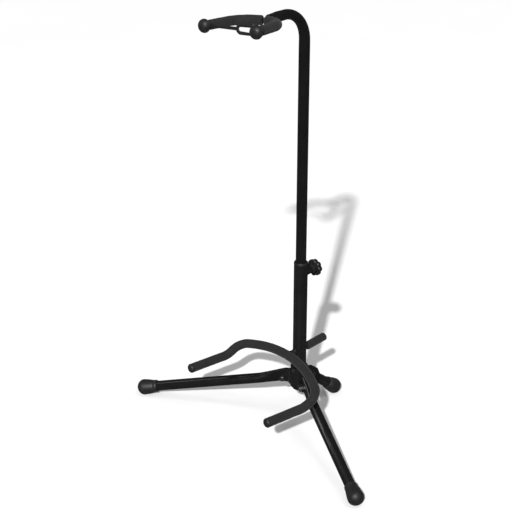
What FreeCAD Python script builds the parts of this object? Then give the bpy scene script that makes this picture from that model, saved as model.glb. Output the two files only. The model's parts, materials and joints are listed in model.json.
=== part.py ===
import FreeCAD, Part
import math
import os

# Tubular guitar stand: folding tripod, telescopic mast, padded cradle and padded neck yoke.
# Millimetres, +Z up. The origin is on the mast axis at floor level and the front faces -Y.

V = FreeCAD.Vector
X_AXIS, Y_AXIS, Z_AXIS = V(1, 0, 0), V(0, 1, 0), V(0, 0, 1)
NO_TURN = FreeCAD.Rotation()
FAR = 1000.0

# Fits and gaps
running_gap = 0.05          # radial gap of a turning or sliding fit
body_gap = 0.3              # gap between faces of pieces that move past each other
tube_wall = 1.2
gate_radius = 1.0           # moulded round ends have a small flat at the gate

# Mast
lower_tube_radius = 12.5
lower_tube_bottom = 57.0
lower_tube_top = 310.5
upper_tube_radius = 9.5
upper_tube_bottom = 153.0
lower_bore_radius = lower_tube_radius - tube_wall
upper_bore_radius = upper_tube_radius - tube_wall
bushing_flange = 3.5
bushing_shoulder = 2.4      # rounding of the flange's top edge
bushing_depth = 15.0
plug_flange = 3.0
plug_depth = 8.0
glide_height = 10.0
glide_spigot = 16.0

# Gooseneck
neck_reach = 96.5           # from the mast axis to the middle of the yoke rod
neck_height = 775.5         # height of the middle of the yoke rod
neck_rise = 0.5             # upward slope of the gooseneck's end, degrees
neck_bend_radius = 52.0

# Neck yoke: a bent rod across the end of the gooseneck
yoke_turn = 5.5             # the yoke is welded a little off the gooseneck's heading, degrees
yoke_rise = 4.5             # upward slope of its arms, degrees
yoke_roll = 4.5             # its right arm stands this much higher, degrees
yoke_rod_radius = 4.0
yoke_shoulder = (42.3, 10.3)    # corner of each arm: sideways and forward of the rod's middle
yoke_tip = (50.9, 89.6)         # centre of each end ball: sideways and forward
yoke_bend_radius = 40.0
yoke_middle_radius = 25.0
yoke_foam_radius = 8.25
yoke_foam_gap = 4.0         # half of the bare middle, where the rod is welded
yoke_nose_radius = 3.5
yoke_nose_length = 6.0
yoke_flange = 2.0
ball_radius = 10.4
ball_back = 5.6             # from the ball's centre to its flat back
strap_width = 5.0           # room for the strap between ball and foam, along the arm

# Strap
strap_band_height = 5.4
strap_band_thickness = 2.4
strap_eye_radius = 7.5
strap_taper = 14.0
strap_loop_height = 16.4
strap_loop_thickness = 2.6
strap_slot_height = 8.8
strap_slot_length = 38.0

# Knob and its clamp, at the back of the lower tube
knob_height = 290.0
boss_radius = 7.0
boss_length = 12.0
screw_radius = 3.0
pad_radius = 3.7
pad_length = 4.5
knob_face = 42.5            # outer face of the knob, from the mast axis
knob_thickness = 9.5
knob_radius = 15.8
knob_hub_radius = 8.5
knob_hub_length = 5.0
knob_lobes = 6
knob_scallop_radius = 5.5

# Hub
hub_radius = 16.0
hub_bottom = 60.0
hub_top = 102.0
stop_radius = 19.0          # front face of each stop block
stop_bottom = 61.0
stop_top = 91.0
stop_width = 10.0
stop_chamfer = 4.0
tongue_thickness = 5.0
tongue_nose_radius = 5.5
tongue_bottom = 64.0
tongue_top = 87.0
hub_screw_height = 96.5
hub_screw_radius = 2.5
hub_screw_head_radius = 4.5
hub_screw_head = 2.2
hub_screw_length = 4.5

# Legs: azimuth about +Z, distance of the foot from the mast axis, rise of the tube axis above the pivot,
# length of the flare from flat end to round tube, height of the flat end above the pivot, and top edge above
# the tube axis where the flare begins
pivot_radius = 31.5
pivot_height = 71.0
bolt_radius = 3.0
leg_tube_radius = 9.5
leg_end_width = 2 * (tongue_thickness / 2 + body_gap + tube_wall)
leg_end_above = 16.8        # top edge of the flat end above the tube axis
leg_end_below = 9.5
leg_flat_length = 14.0      # flat end beyond the pivot
leg_taper_start = -9.0      # the flat end's top edge starts to slope down here, from the pivot
leg_corner_radius = 12.0    # the lower inner corner is rounded about the pivot so that the leg can fold
LEGS = {
    "left": {"azimuth": 210.0, "foot_at": 300.0, "rise": 3.4, "flare": 28.0, "crown": 20.5,
             "shoulder": 13.5},
    "right": {"azimuth": 330.0, "foot_at": 300.0, "rise": 3.4, "flare": 28.0, "crown": 20.5,
              "shoulder": 13.5},
    "rear": {"azimuth": 90.0, "foot_at": 100.0, "rise": -2.0, "flare": 12.0, "crown": 16.0,
             "shoulder": 16.8},
}

# Pivot hardware
head_radius = 5.25
head_height = 3.3
socket_width = 4.0
socket_depth = 2.0
washer_radius = 8.0
washer_thickness = 1.6
nut_width = 10.0
nut_height = 5.0
thread_end = 1.2

# Feet
foot_radius = 15.0
foot_height = 14.0          # height of the bulb's centre above the floor
foot_sleeve = 24.0          # from the start of the sleeve to the bulb's centre
foot_sleeve_radius = 11.6
foot_cone_start = 17.0
foot_cone_end = 5.0
foot_floor = 2.5

# Cradle: a bent rod in foam, carried on a short stay in front of the mast
cradle_turn = -10.0         # the cradle is welded a little off the tripod's heading, degrees
cradle_apex = 24.0          # rod centre in front of the mast axis
cradle_height = 129.0
cradle_rod_radius = 4.0
cradle_foam_radius = 8.6
cradle_half_width = 115.0
cradle_slope = 28.8         # the curved middle slopes down to the front, degrees
cradle_sweep = 25.0         # half of the gentle bend across the middle, degrees
cradle_drop = 30.5
cradle_reach = 138.0        # from the apex to the tip of each arm
cradle_middle_radius = 220.0
cradle_corner_radius = 30.0
cradle_level_radius = 36.0
cap_length = 7.0
cap_inside = 2.0

# Stay and rear peg, on one line through the mast
stay_radius = 4.5
stay_height = cradle_height + 5.5     # the stay lies in a saddle on top of the rod
peg_end = 67.5
peg_foam_start = 19.0
peg_foam_radius = 7.8
peg_cap_length = 4.0


def turned(shape, angle, axis=Z_AXIS, centre=V(0, 0, 0)):
    """A copy of the shape turned about an axis through centre."""
    moved = shape.copy()
    moved.rotate(centre, axis, angle)
    return moved


def shifted(shape, offset):
    """A copy of the shape moved by offset."""
    moved = shape.copy()
    moved.translate(offset)
    return moved


def bar(radius, start, end):
    """A round bar between two points."""
    return Part.makeCylinder(radius, (end - start).Length, start, end - start)


def hollow(outer, inner, start, end):
    """A round tube between two points, open at both ends."""
    return bar(outer, start, end).cut(bar(inner, start, end))


def block(low, high):
    """A box between two corners."""
    size = high - low
    return Part.makeBox(size.x, size.y, size.z, low)


def hexagon(width, start, end):
    """A hexagonal prism of that width across flats between two points."""
    corner = width / math.sqrt(3)
    ring = [V(corner * math.cos(k * math.pi / 3), corner * math.sin(k * math.pi / 3), 0) for k in range(7)]
    prism = Part.Face(Part.makePolygon(ring)).extrude(V(0, 0, (end - start).Length))
    prism.Placement = FreeCAD.Placement(start, FreeCAD.Rotation(Z_AXIS, end - start))
    return prism


def bent_path(corners, radii):
    """Straight runs through the corners, with a tangent arc of the given radius at each inner one."""
    edges = []
    here = corners[0]
    for before, corner, after, radius in zip(corners, corners[1:], corners[2:], radii):
        back = (before - corner).normalize()
        ahead = (after - corner).normalize()
        half_turn = (math.pi - back.getAngle(ahead)) / 2
        cut = radius * math.tan(half_turn)
        inward = (back + ahead).normalize()
        start = corner + back * cut
        end = corner + ahead * cut
        middle = corner + inward * (radius / math.cos(half_turn) - radius)
        edges.append(Part.LineSegment(here, start).toShape())
        edges.append(Part.Arc(start, middle, end).toShape())
        here = end
    edges.append(Part.LineSegment(here, corners[-1]).toShape())
    return Part.Wire(edges)


def swept(radius, corners, radii):
    """A round bar along a bent path."""
    path = bent_path(corners, radii)
    along = corners[1] - corners[0]
    section = Part.Face(Part.Wire(Part.makeCircle(radius, corners[0], along)))
    return path.makePipe(section)


def swept_tube(outer, inner, corners, radii):
    """A round tube along a bent path."""
    return swept(outer, corners, radii).cut(swept(inner, corners, radii))


def moved_along(point, towards, distance):
    """The point that far from a point, on the way towards another."""
    return point + (towards - point).normalize() * distance


def lathe(profile, centre, direction):
    """A solid turned about a line. A profile point is (along, radius), or (along, radius, middle along,
    middle radius) where an arc reaches it from the point before."""
    edges = []
    here = V(profile[0][1], 0, profile[0][0])
    for point in profile[1:] + profile[:1]:
        there = V(point[1], 0, point[0])
        if len(point) == 4:
            edges.append(Part.Arc(here, V(point[3], 0, point[2]), there).toShape())
        else:
            edges.append(Part.LineSegment(here, there).toShape())
        here = there
    solid = Part.Face(Part.Wire(edges)).revolve(V(0, 0, 0), Z_AXIS, 360)
    solid.Placement = FreeCAD.Placement(centre, FreeCAD.Rotation(Z_AXIS, direction))
    return solid


def domed_cap(radius, length, base, direction):
    """A short cap with a rounded far edge."""
    cap = Part.makeCylinder(radius, length, base, direction)
    return cap.makeFillet(min(radius, length) * 0.6, [far_edge(cap, base, direction)])


def far_edge(cap, base, direction):
    """The circular edge of a cylinder that lies furthest along a direction."""
    rims = [edge for edge in cap.Edges if isinstance(edge.Curve, Part.Circle)]
    return max(rims, key=lambda edge: (edge.CenterOfMass - base).dot(direction))


# ---------------------------------------------------------------- mast


def lower_tube():
    """The outer mast tube, with holes for the clamp pad and the hub screws."""
    tube = hollow(lower_tube_radius, lower_bore_radius, V(0, 0, lower_tube_bottom), V(0, 0, lower_tube_top))
    pad_hole = bar(pad_radius + body_gap, V(0, 0, knob_height), V(0, FAR, knob_height))
    tube = tube.cut(pad_hole)
    for hole in hub_screw_places(hub_screw_radius, 0, FAR):
        tube = tube.cut(hole)
    return tube


def top_bushing():
    """The plastic guide in the lower tube's mouth, with a flange on the rim."""
    top = lower_tube_top + bushing_flange
    flange = bar(lower_tube_radius, V(0, 0, lower_tube_top), V(0, 0, top))
    flange = flange.makeFillet(bushing_shoulder, [far_edge(flange, V(0, 0, 0), Z_AXIS)])
    sleeve = bar(lower_bore_radius, V(0, 0, lower_tube_top - bushing_depth), V(0, 0, lower_tube_top))
    bore = bar(upper_tube_radius + running_gap, V(0, 0, 0), V(0, 0, FAR))
    return flange.fuse(sleeve).cut(bore).removeSplitter()


def mast_plug():
    """The plastic plug in the mast's lower end."""
    stem = bar(lower_bore_radius, V(0, 0, lower_tube_bottom), V(0, 0, lower_tube_bottom + plug_depth))
    flange = domed_cap(lower_tube_radius, plug_flange, V(0, 0, lower_tube_bottom), V(0, 0, -1))
    return stem.fuse(flange).removeSplitter()


def glide_plug():
    """The plastic guide under the upper tube: it slides in the lower tube and turns in the upper one."""
    body_radius = lower_bore_radius - running_gap
    bottom = upper_tube_bottom - glide_height
    body = bar(body_radius, V(0, 0, bottom), V(0, 0, upper_tube_bottom - body_gap))
    spigot = bar(upper_bore_radius - running_gap, V(0, 0, bottom), V(0, 0, upper_tube_bottom + glide_spigot))
    lightening = bar(upper_bore_radius / 2, V(0, 0, 0), V(0, 0, upper_tube_bottom + glide_spigot / 2))
    return body.fuse(spigot).cut(lightening).removeSplitter()


def neck_frame():
    """Middle of the yoke rod, and the direction along the gooseneck's end."""
    rise = math.radians(neck_rise)
    middle = V(0, -neck_reach, neck_height)
    ahead = V(0, -math.cos(rise), math.sin(rise))
    return middle, ahead


def upper_tube_line():
    """Corner points of the upper tube's axis, up to the yoke plug's flange."""
    middle, ahead = neck_frame()
    crook = V(0, 0, neck_height - neck_reach * math.tan(math.radians(neck_rise)))
    end = middle - ahead * (yoke_rod_radius + yoke_nose_length + yoke_flange)
    return [V(0, 0, upper_tube_bottom), crook, end]


def upper_tube():
    """The inner mast tube, bent forward at its top into a gooseneck."""
    return swept_tube(upper_tube_radius, upper_bore_radius, upper_tube_line(), [neck_bend_radius])


# ---------------------------------------------------------------- neck yoke


def yoke_axes():
    """Directions of the yoke: forward, to its right and up."""
    pitching = FreeCAD.Rotation(X_AXIS, -yoke_rise)
    rolling = FreeCAD.Rotation(Y_AXIS, -yoke_roll)
    turning = FreeCAD.Rotation(Z_AXIS, yoke_turn)
    whole = turning.multiply(pitching).multiply(rolling)
    return whole.multVec(V(0, -1, 0)), whole.multVec(X_AXIS), whole.multVec(Z_AXIS)


def yoke_point(side, sideways, forward_by):
    """A point in the yoke's plane. side is -1 for the left arm and 1 for the right one."""
    middle, _ = neck_frame()
    forward, right, _ = yoke_axes()
    return middle + right * (side * sideways) + forward * forward_by


def yoke_arm(side):
    """Corner points of one arm, from the rod's middle to the ball."""
    return [yoke_point(side, 0, 0), yoke_point(side, *yoke_shoulder), yoke_point(side, *yoke_tip)]


def yoke_plug():
    """The steel plug in the gooseneck's end, whose nose is welded to the yoke rod."""
    _, ahead = neck_frame()
    tube_end = upper_tube_line()[-1]
    flange_face = tube_end + ahead * yoke_flange
    stem = bar(upper_bore_radius, tube_end - ahead * glide_spigot, tube_end)
    flange = domed_cap(upper_tube_radius, yoke_flange, tube_end, ahead)
    nose = bar(yoke_nose_radius, flange_face, flange_face + ahead * (yoke_nose_length + yoke_rod_radius))
    return stem.fuse([flange, nose]).cut(yoke_rod()).removeSplitter()


def yoke_rod():
    """The bent rod inside the yoke's foam."""
    left, right = yoke_arm(-1), yoke_arm(1)
    corners = [left[2], left[1], left[0], right[1], right[2]]
    return swept(yoke_rod_radius, corners, [yoke_bend_radius, yoke_middle_radius, yoke_bend_radius])


def yoke_foam(side):
    """One foam sleeve, from beside the weld to the strap's room behind the ball."""
    middle, shoulder, tip = yoke_arm(side)
    start = moved_along(middle, shoulder, yoke_foam_gap + body_gap)
    end = moved_along(tip, shoulder, ball_back + strap_width + 3 * body_gap)
    bore = yoke_rod_radius + running_gap
    sleeve = swept(yoke_foam_radius, [start, shoulder, end], [yoke_bend_radius])
    lengthened = moved_along(start, shoulder, -yoke_foam_gap)
    return sleeve.cut(swept(bore, [lengthened, shoulder, tip], [yoke_bend_radius])).cut(yoke_rod())


def yoke_ball(side):
    """The rubber ball on the tip of one arm, flat at the back."""
    _, shoulder, tip = yoke_arm(side)
    along = (tip - shoulder).normalize()
    back_radius = math.sqrt(ball_radius ** 2 - ball_back ** 2)
    halfway = ball_radius * math.sqrt(0.5)
    nose = math.sqrt(ball_radius ** 2 - gate_radius ** 2)
    profile = [(-ball_back, yoke_rod_radius), (-ball_back, back_radius), (nose, gate_radius, halfway, halfway),
               (nose, 0), (0, 0), (0, yoke_rod_radius)]
    return lathe(profile, tip, along)


def neck_strap():
    """The rubber strap: an eye on the left arm, a band, and a slotted loop hooked behind the right ball."""
    forward, right, up = yoke_axes()
    _, shoulder, tip = yoke_arm(-1)
    along = (tip - shoulder).normalize()
    _, right_shoulder, right_tip = yoke_arm(1)
    set_back = ball_back + body_gap + strap_width / 2
    eye_centre = moved_along(tip, shoulder, set_back)
    hook_centre = moved_along(right_tip, right_shoulder, set_back)
    span = (hook_centre - eye_centre).Length

    def plate(outline, thickness):
        """A flat piece in the plane of the band: points are (along the band, up) from the eye's centre."""
        ring = [eye_centre + right * a + up * b - forward * (thickness / 2) for a, b in outline]
        return Part.Face(Part.makePolygon(ring + ring[:1])).extrude(forward * thickness)

    def lozenge(first, last, radius, thickness):
        """A plate with half-round ends about two places along the band."""
        body = plate([(first, -radius), (last, -radius), (last, radius), (first, radius)], thickness)
        for place in (first, last):
            centre = eye_centre + right * place - forward * (thickness / 2)
            body = body.fuse(bar(radius, centre, centre + forward * thickness))
        return body

    eye = bar(strap_eye_radius, eye_centre - along * (strap_width / 2), eye_centre + along * (strap_width / 2))
    slot_end = span
    slot_start = span - strap_slot_length + strap_slot_height
    band_half = strap_band_height / 2
    reach = strap_eye_radius + strap_taper
    fan = plate([(0, -strap_eye_radius), (reach, -band_half), (reach, band_half), (0, strap_eye_radius)],
                strap_band_thickness)
    band = plate([(0, -band_half), (slot_start, -band_half), (slot_start, band_half), (0, band_half)],
                 strap_band_thickness)
    rim = strap_loop_height / 2
    loop = lozenge(slot_start, slot_end, rim, strap_loop_thickness)
    slot = lozenge(slot_start, slot_end, strap_slot_height / 2, strap_width)
    bore = bar(yoke_rod_radius + body_gap, eye_centre - along * FAR / 2, eye_centre + along * FAR / 2)
    return eye.fuse([fan, band, loop]).cut(slot).cut(bore).removeSplitter()


# ---------------------------------------------------------------- clamp


def clamp_bar(radius, start, end):
    """A bar on the clamp's axis, between two distances behind the mast axis."""
    return bar(radius, V(0, start, knob_height), V(0, end, knob_height))


def knob_boss():
    """The threaded boss welded to the back of the lower tube."""
    face = lower_tube_radius + boss_length
    boss = clamp_bar(boss_radius, 0, face)
    boss = boss.makeFillet(1.0, [far_edge(boss, V(0, 0, knob_height), Y_AXIS)])
    boss = boss.cut(bar(lower_tube_radius, V(0, 0, 0), V(0, 0, FAR)))
    pad_room = clamp_bar(pad_radius + body_gap, 0, upper_tube_radius + pad_length + 4.0)
    thread = clamp_bar(screw_radius + running_gap, 0, FAR)
    return boss.cut(pad_room).cut(thread)


def clamp_pad():
    """The pad that the stud presses against the upper tube."""
    start = upper_tube_radius + body_gap
    return clamp_bar(pad_radius, start, start + pad_length)


def knob_screw():
    """The stud, from the pad into the knob."""
    start = upper_tube_radius + body_gap + pad_length
    return clamp_bar(screw_radius, start + running_gap, knob_face - knob_thickness / 2)


def knob():
    """The star knob."""
    back = knob_face - knob_thickness
    star = clamp_bar(knob_radius, back, knob_face)
    for lobe in range(knob_lobes):
        angle = (lobe + 0.5) * 360 / knob_lobes
        away = V(0, 0, knob_radius + knob_scallop_radius * 0.45)
        notch = bar(knob_scallop_radius, V(0, back - 1, knob_height) + away, V(0, knob_face + 1, knob_height) + away)
        star = star.cut(turned(notch, angle, Y_AXIS, V(0, 0, knob_height)))
    rims = [edge for edge in star.Edges if abs(edge.BoundBox.YMax - knob_face) < 0.01
            and abs(edge.BoundBox.YMin - knob_face) < 0.01]
    star = star.makeFillet(1.5, rims)
    boss = clamp_bar(knob_hub_radius, back - knob_hub_length, back + 1)
    return star.fuse(boss).removeSplitter().cut(knob_screw())


# ---------------------------------------------------------------- hub and its hardware


def hub_screw_places(radius, start, end):
    """Bars on the axes of the hub screws, which stand between the legs."""
    places = []
    for leg in LEGS.values():
        angle = leg["azimuth"] + 180
        place = bar(radius, V(start, 0, hub_screw_height), V(end, 0, hub_screw_height))
        places.append(turned(place, angle))
    return places


def hub_screws():
    """The three screws that hold the hub on the mast."""
    shanks = hub_screw_places(hub_screw_radius, hub_radius - hub_screw_length, hub_radius)
    heads = hub_screw_places(hub_screw_head_radius, hub_radius, hub_radius + hub_screw_head)
    return Part.makeCompound([shank.fuse(head).removeSplitter() for shank, head in zip(shanks, heads)])


def hub():
    """The collar, with a stop block and a tongue for each leg."""
    body = bar(hub_radius, V(0, 0, hub_bottom), V(0, 0, hub_top))
    half_stop = stop_width / 2
    half_tongue = tongue_thickness / 2
    for leg in LEGS.values():
        outline = [(0, stop_bottom), (stop_radius - stop_chamfer, stop_bottom),
                   (stop_radius, stop_bottom + stop_chamfer), (stop_radius, stop_top), (0, stop_top)]
        stop = upright_plate(outline, half_stop)
        neck = [(0, tongue_bottom), (pivot_radius, pivot_height - tongue_nose_radius),
                (pivot_radius, pivot_height + tongue_nose_radius), (stop_radius, tongue_top), (0, tongue_top)]
        tongue = upright_plate(neck, half_tongue)
        nose = bar(tongue_nose_radius, V(pivot_radius, -half_tongue, pivot_height),
                   V(pivot_radius, half_tongue, pivot_height))
        hole = bar(bolt_radius, V(pivot_radius, -half_stop, pivot_height), V(pivot_radius, half_stop, pivot_height))
        lug = stop.fuse([tongue, nose]).cut(hole)
        body = body.fuse(turned(lug, leg["azimuth"]))
    body = body.cut(bar(lower_tube_radius, V(0, 0, 0), V(0, 0, FAR)))
    for hole in hub_screw_places(hub_screw_radius, 0, FAR):
        body = body.cut(hole)
    return body.removeSplitter()


def upright_plate(outline, half_thickness):
    """A plate in the XZ plane, extruded both ways along Y."""
    ring = [V(x, -half_thickness, z) for x, z in outline]
    return Part.Face(Part.makePolygon(ring + ring[:1])).extrude(V(0, 2 * half_thickness, 0))


def at_pivot(shape, leg):
    """Places a shape made around the pivot, with X outward, at that leg's pivot."""
    return turned(shifted(shape, V(pivot_radius, 0, pivot_height)), leg["azimuth"])


def pivot_bolt(leg):
    """The pivot bolt: button head on one side of the leg, thread end on the other."""
    face = leg_end_width / 2 + body_gap / 2
    head = bar(head_radius, V(0, face, 0), V(0, face + head_height, 0))
    head = head.makeFillet(head_height * 0.7, [far_edge(head, V(0, 0, 0), Y_AXIS)])
    head = head.cut(hexagon(socket_width, V(0, face + head_height - socket_depth, 0), V(0, face + head_height, 0)))
    end = face + washer_thickness + nut_height + thread_end
    shank = bar(bolt_radius, V(0, -end, 0), V(0, face, 0))
    return at_pivot(head.fuse(shank).removeSplitter(), leg)


def pivot_washer(leg):
    """The washer between leg and nut."""
    face = leg_end_width / 2 + body_gap / 2
    washer = hollow(washer_radius, bolt_radius, V(0, -face - washer_thickness, 0), V(0, -face, 0))
    return at_pivot(washer, leg)


def pivot_nut(leg):
    """The lock nut."""
    start = leg_end_width / 2 + body_gap / 2 + washer_thickness
    nut = hexagon(nut_width, V(0, -start, 0), V(0, -start - nut_height, 0))
    hole = bar(bolt_radius, V(0, -start - nut_height, 0), V(0, -start, 0))
    return at_pivot(nut.cut(hole), leg)


# ---------------------------------------------------------------- legs and feet


def leg_slope(leg):
    """Downward slope of the leg's tube axis in degrees, and the distance along it from the pivot to the foot."""
    out, down = leg["foot_at"] - pivot_radius, pivot_height - foot_height
    reach = math.hypot(out, down)
    slope = math.atan2(down, out) + math.asin(leg["rise"] / reach)
    return math.degrees(slope), math.sqrt(reach ** 2 - leg["rise"] ** 2)


def flat_section(at, low, high, width):
    """A closed upright slot outline across the leg's axis, with half-round ends."""
    half = width / 2
    corners = [V(at, half, low + half), V(at, half, high - half), V(at, -half, high - half), V(at, -half, low + half)]
    return Part.Wire([
        Part.LineSegment(corners[0], corners[1]).toShape(),
        Part.Arc(corners[1], V(at, 0, high), corners[2]).toShape(),
        Part.LineSegment(corners[2], corners[3]).toShape(),
        Part.Arc(corners[3], V(at, 0, low), corners[0]).toShape(),
    ])


def round_section(at, radius):
    """A circle across the leg's axis, in four arcs that match the flat outline's edges."""
    diagonal = radius * math.sqrt(0.5)
    corners = [V(at, diagonal, -diagonal), V(at, diagonal, diagonal), V(at, -diagonal, diagonal),
               V(at, -diagonal, -diagonal)]
    return Part.Wire([
        Part.Arc(corners[0], V(at, radius, 0), corners[1]).toShape(),
        Part.Arc(corners[1], V(at, 0, radius), corners[2]).toShape(),
        Part.Arc(corners[2], V(at, -radius, 0), corners[3]).toShape(),
        Part.Arc(corners[3], V(at, 0, -radius), corners[0]).toShape(),
    ])


def leg_form(leg, inset, start, end):
    """The leg's outer or inner form about its tube axis: flat end, sloping shoulder, flare and round tube."""
    low, high, shoulder = -leg_end_below + inset, leg_end_above - inset, leg["shoulder"] - inset
    width, radius = leg_end_width - 2 * inset, leg_tube_radius - inset
    flare_end = leg_flat_length + leg["flare"]
    flat = Part.Face(flat_section(start, low, high, width)).extrude(V(leg_taper_start - start, 0, 0))
    opened = flat_section(leg_flat_length, low, shoulder, width)
    taper = Part.makeLoft([flat_section(leg_taper_start, low, high, width), opened], True, True)
    flare = Part.makeLoft([opened, round_section(flare_end, radius)], True, True)
    tube = bar(radius, V(flare_end, 0, 0), V(end, 0, 0))
    return flat.fuse([taper, flare, tube])


def in_leg_frame(shape, leg):
    """Lifts a shape made about the tube axis above the pivot and slopes it down, X outward."""
    slope, _ = leg_slope(leg)
    return turned(shifted(shape, V(0, 0, leg["rise"])), slope, Y_AXIS)


def leg_tube(leg):
    """A leg: tube with a flattened, forked and drilled end."""
    _, length = leg_slope(leg)
    start = -pivot_radius
    end = length - foot_floor
    outer = leg_form(leg, 0, start, end)
    inner = leg_form(leg, tube_wall, start - 1, end + 1)
    half_slot = tongue_thickness / 2 + body_gap
    slot = block(V(start - 1, -half_slot, -FAR), V(leg_flat_length, half_slot, 0))
    leg_body = in_leg_frame(outer.cut(inner).cut(slot), leg)
    stop_face = stop_radius - pivot_radius + body_gap
    leg_body = leg_body.cut(block(V(-FAR, -FAR, -FAR), V(stop_face, FAR, FAR)))
    leg_body = leg_body.cut(block(V(-FAR, -FAR, leg["crown"]), V(FAR, FAR, FAR)))
    corner = block(V(-FAR, -FAR, -FAR), V(0, FAR, 0)).cut(bar(leg_corner_radius, V(0, -FAR, 0), V(0, FAR, 0)))
    hole = bar(bolt_radius + running_gap, V(0, -FAR, 0), V(0, FAR, 0))
    return at_pivot(leg_body.cut(corner).cut(hole), leg)


def foot(leg):
    """The rubber foot on the leg's end, flat where it stands on the floor."""
    _, length = leg_slope(leg)
    halfway = foot_radius * math.sqrt(0.5)
    cone_radius = math.sqrt(foot_radius ** 2 - foot_cone_end ** 2)
    nose = math.sqrt(foot_radius ** 2 - gate_radius ** 2)
    profile = [(-foot_sleeve, leg_tube_radius), (-foot_sleeve, foot_sleeve_radius),
               (-foot_cone_start, foot_sleeve_radius), (-foot_cone_end, cone_radius),
               (nose, gate_radius, halfway, halfway), (nose, 0), (-foot_floor, 0), (-foot_floor, leg_tube_radius)]
    rubber = lathe(profile, V(length, 0, 0), X_AXIS)
    standing = at_pivot(in_leg_frame(rubber, leg), leg)
    return standing.cut(block(V(-FAR, -FAR, -FAR), V(FAR, FAR, 0)))


# ---------------------------------------------------------------- cradle and peg


def cradle_corners():
    """Corner points of the cradle rod, from the left tip to the right one, before it is turned."""
    slope = math.radians(cradle_slope)
    sweep = math.radians(cradle_sweep)
    behind = cradle_middle_radius * (1 / math.cos(sweep) - 1)

    def on_slope(x, forward_by):
        return V(x, -cradle_apex - forward_by * math.cos(slope), cradle_height - forward_by * math.sin(slope))

    shoulder = cradle_half_width * math.tan(sweep) - behind
    level = cradle_drop / math.sin(slope)
    right = [on_slope(cradle_half_width, shoulder), on_slope(cradle_half_width, level)]
    right.append(V(cradle_half_width, -cradle_apex - cradle_reach, cradle_height - cradle_drop))
    left = [V(-point.x, point.y, point.z) for point in reversed(right)]
    return left + [on_slope(0, -behind)] + right


CRADLE_RADII = [cradle_level_radius, cradle_corner_radius, cradle_middle_radius,
                cradle_corner_radius, cradle_level_radius]


def cradle_rod():
    """The bent rod inside the cradle's foam."""
    return turned(swept(cradle_rod_radius, cradle_corners(), CRADLE_RADII), cradle_turn)


def cradle_foam():
    """The foam sleeve from cap to cap, notched over the stay."""
    corners = cradle_corners()
    corners[0] = moved_along(corners[0], corners[1], cap_inside)
    corners[-1] = moved_along(corners[-1], corners[-2], cap_inside)
    sleeve = turned(swept(cradle_foam_radius, corners, CRADLE_RADII), cradle_turn)
    bore = turned(swept(cradle_rod_radius + running_gap, cradle_corners(), CRADLE_RADII), cradle_turn)
    notch = bar(stay_radius + body_gap, V(0, 0, stay_height), V(0, -cradle_apex - stay_radius, stay_height))
    return sleeve.cut(bore).cut(turned(notch, cradle_turn))


def cradle_cap(side):
    """The domed cap on one tip: side is -1 for the left one and 1 for the right one."""
    corners = cradle_corners()
    tip, inner = (corners[0], corners[1]) if side < 0 else (corners[-1], corners[-2])
    outward = (tip - inner).normalize()
    base = tip - outward * cap_inside
    cap = domed_cap(cradle_foam_radius, cap_length, base, outward)
    socket = bar(cradle_rod_radius, base - outward, tip)
    return turned(cap.cut(socket), cradle_turn)


def cradle_stay():
    """The short stay that carries the cradle rod in front of the mast."""
    stay = bar(stay_radius, V(0, 0, stay_height), V(0, 2 - cradle_apex, stay_height))
    stay = stay.cut(bar(lower_tube_radius, V(0, 0, 0), V(0, 0, FAR)))
    return turned(stay, cradle_turn).cut(cradle_rod())


def rear_peg():
    """The straight peg behind the mast."""
    peg = bar(stay_radius, V(0, 0, stay_height), V(0, peg_end, stay_height))
    return peg.cut(bar(lower_tube_radius, V(0, 0, 0), V(0, 0, FAR)))


def peg_foam():
    """The foam sleeve on the peg."""
    return hollow(peg_foam_radius, stay_radius + running_gap, V(0, peg_foam_start, stay_height),
                  V(0, peg_end - cap_inside, stay_height))


def peg_cap():
    """The cap on the peg's end."""
    base = V(0, peg_end - cap_inside, stay_height)
    cap = domed_cap(peg_foam_radius, peg_cap_length, base, Y_AXIS)
    return cap.cut(bar(stay_radius, base, V(0, peg_end, stay_height)))


# ---------------------------------------------------------------- all the nodes


def nodes():
    """Every piece by its node's name."""
    found = {
        "lower_tube": lower_tube(), "top_bushing": top_bushing(), "mast_plug": mast_plug(),
        "glide_plug": glide_plug(), "upper_tube": upper_tube(),
        "yoke_plug": yoke_plug(), "yoke_rod": yoke_rod(), "neck_strap": neck_strap(),
        "knob_boss": knob_boss(), "clamp_pad": clamp_pad(), "knob_screw": knob_screw(), "knob": knob(),
        "hub": hub(), "hub_screws": hub_screws(),
        "cradle_rod": cradle_rod(), "cradle_foam": cradle_foam(), "cradle_stay": cradle_stay(),
        "rear_peg": rear_peg(), "peg_foam": peg_foam(), "peg_cap": peg_cap(),
    }
    for name, side in (("left", -1), ("right", 1)):
        found["yoke_foam_" + name] = yoke_foam(side)
        found["yoke_ball_" + name] = yoke_ball(side)
        found["cradle_cap_" + name] = cradle_cap(side)
    for name, leg in LEGS.items():
        found["leg_" + name] = leg_tube(leg)
        found["foot_" + name] = foot(leg)
        found["pivot_bolt_" + name] = pivot_bolt(leg)
        found["pivot_washer_" + name] = pivot_washer(leg)
        found["pivot_nut_" + name] = pivot_nut(leg)
    return found


os.makedirs("parts", exist_ok=True)
for node, shape in nodes().items():
    shape.exportStep("parts/" + node + ".step")
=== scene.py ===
import json
import math

import bmesh
import bpy
from bpy.props import FloatProperty, FloatVectorProperty, IntProperty, PointerProperty
from mathutils import Matrix, Vector, noise


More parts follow.
